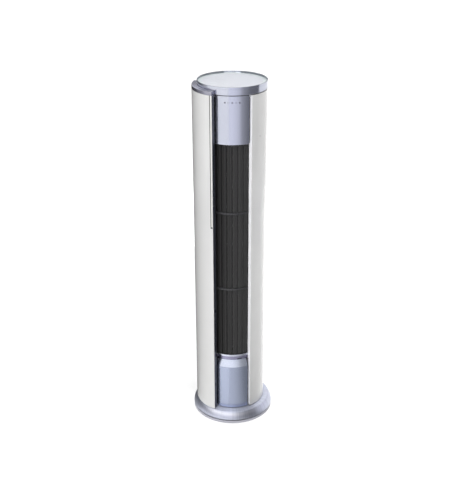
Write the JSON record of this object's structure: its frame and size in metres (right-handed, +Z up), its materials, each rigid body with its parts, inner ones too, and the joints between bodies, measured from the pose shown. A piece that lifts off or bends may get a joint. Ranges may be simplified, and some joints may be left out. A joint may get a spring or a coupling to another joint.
{
  "type": "floor standing air conditioner",
  "caption": "Round floor standing air conditioner column with a sliding curved door, vertical louvre vanes, brushed front panels, glass top and flared base.",
  "frame": {"origin": "centre of the base on the floor", "axes": "+Z up, the louvre and display face -Y, +X to the right when seen from the front"},
  "size_m": [0.42, 0.42, 1.8],
  "materials": {
    "white_gloss": "glossy moulded white",
    "brushed_silver": "fine vertical brushing, lavender tint",
    "brushed_base": "fine radial brushing",
    "door_cap_metal": "satin",
    "light_grey_plastic": "moulded",
    "rubber": "matt",
    "black_plastic": "satin",
    "vane_black": "satin",
    "navy_trim": "satin",
    "glass": "polished, pale green edge",
    "steel_sheet": "zinc plated sheet",
    "aluminium": "plain",
    "copper": "bright copper tube",
    "brass": "turned",
    "board": "lacquered circuit board",
    "mesh": "fine filter net",
    "cream_trim": "satin"
  },
  "bodies": {
    "chassis": {"base_plate": "light_grey_plastic", "foot_pads": "rubber", "base_plinth": "black_plastic", "base_cover": "brushed_base", "pedestal": "steel_sheet", "lower_deck": "steel_sheet", "rear_columns": "steel_sheet", "mid_deck": "steel_sheet", "motor_deck": "steel_sheet", "upper_deck": "steel_sheet", "cap_post": "black_plastic", "cap_floor": "black_plastic", "cap_cover": "brushed_silver", "glass_disc": "glass", "right_panel": "white_gloss", "left_panel": "white_gloss", "display_panel": "brushed_silver", "display_board": "board", "side_trims": "navy_trim", "lower_panel": "brushed_silver", "sill": "brushed_silver", "outlet_frame": "black_plastic", "vane_ribs": "black_plastic", "vane_motor": "light_grey_plastic", "fan_bearing": "black_plastic", "fan_motor": "steel_sheet", "rear_guide": "black_plastic", "air_tongue": "black_plastic", "coil_fins": "aluminium", "coil_plates": "steel_sheet", "return_bends": "copper", "drip_pan": "black_plastic", "refrigerant_pipes": "copper", "flare_nuts": "brass", "rear_lower_panel": "white_gloss", "pipe_grommet": "rubber", "cable_gland": "black_plastic", "rear_upper_panel": "white_gloss", "panel_screws": "steel_sheet", "control_box": "steel_sheet", "terminal_block": "black_plastic", "door_motor": "steel_sheet"},
    "door": {"door_shell": "white_gloss", "door_edge_trim": "cream_trim", "door_top_cap": "door_cap_metal", "top_carrier": "aluminium", "bottom_carrier": "aluminium"},
    "door_pinion": {"door_pinion": "light_grey_plastic"},
    "fan": {"fan_rotor": "light_grey_plastic"},
    "grille": {"intake_grille": "white_gloss", "filter_frame": "black_plastic", "filter_mesh": "mesh"},
    "vane_1": {"vane_1": "vane_black"},
    "vane_2": {"vane_2": "vane_black"},
    "vane_3": {"vane_3": "vane_black"},
    "vane_4": {"vane_4": "vane_black"},
    "vane_5": {"vane_5": "vane_black"},
    "vane_6": {"vane_6": "vane_black"},
    "vane_link": {"vane_link": "light_grey_plastic"}
  },
  "joints": [
    {"name": "door_slide", "type": "hinge", "parent": "chassis", "child": "door", "pos_m": [0, 0, 0.9], "axis": [0, 0, 1], "range_deg": [0, 68.5]},
    {"name": "pinion_spin", "type": "hinge", "parent": "chassis", "child": "door_pinion", "pos_m": [-0.06587, -0.09674, 1.759], "axis": [0, 0, 1], "range_deg": [-5, 576]},
    {"name": "fan_spin", "type": "hinge", "parent": "chassis", "child": "fan", "pos_m": [0, -0.012, 0.95], "axis": [0, 0, 1], "continuous": true},
    {"name": "grille_off", "type": "slide", "parent": "chassis", "child": "grille", "axis": [0, 1, 0], "range_m": [0, 0.08]},
    {"name": "vane_turn_1", "type": "hinge", "parent": "chassis", "child": "vane_1", "pos_m": [-0.06734, -0.12274, 0.95], "axis": [0, 0, 1], "range_deg": [0, 60]},
    {"name": "vane_turn_2", "type": "hinge", "parent": "chassis", "child": "vane_2", "pos_m": [-0.04152, -0.1337, 0.95], "axis": [0, 0, 1], "range_deg": [-1, 61]},
    {"name": "vane_turn_3", "type": "hinge", "parent": "chassis", "child": "vane_3", "pos_m": [-0.01403, -0.1393, 0.95], "axis": [0, 0, 1], "range_deg": [-1, 61]},
    {"name": "vane_turn_4", "type": "hinge", "parent": "chassis", "child": "vane_4", "pos_m": [0.01403, -0.1393, 0.95], "axis": [0, 0, 1], "range_deg": [-1, 61]},
    {"name": "vane_turn_5", "type": "hinge", "parent": "chassis", "child": "vane_5", "pos_m": [0.04152, -0.1337, 0.95], "axis": [0, 0, 1], "range_deg": [-1, 61]},
    {"name": "vane_turn_6", "type": "hinge", "parent": "chassis", "child": "vane_6", "pos_m": [0.06734, -0.12274, 0.95], "axis": [0, 0, 1], "range_deg": [-1, 61]},
    {"name": "link_turn", "type": "hinge", "parent": "vane_1", "child": "vane_link", "pos_m": [-0.06135, -0.11911, 1.538], "axis": [0, 0, 1], "range_deg": [-61, 1]}
  ],
  "couplings": [
    {"joint": "pinion_spin", "follows": "door_slide", "ratio": 8.3333},
    {"joint": "vane_turn_2", "follows": "vane_turn_1", "ratio": 1},
    {"joint": "vane_turn_3", "follows": "vane_turn_1", "ratio": 1},
    {"joint": "vane_turn_4", "follows": "vane_turn_1", "ratio": 1},
    {"joint": "vane_turn_5", "follows": "vane_turn_1", "ratio": 1},
    {"joint": "vane_turn_6", "follows": "vane_turn_1", "ratio": 1},
    {"joint": "link_turn", "follows": "vane_turn_1", "ratio": -1}
  ]
}
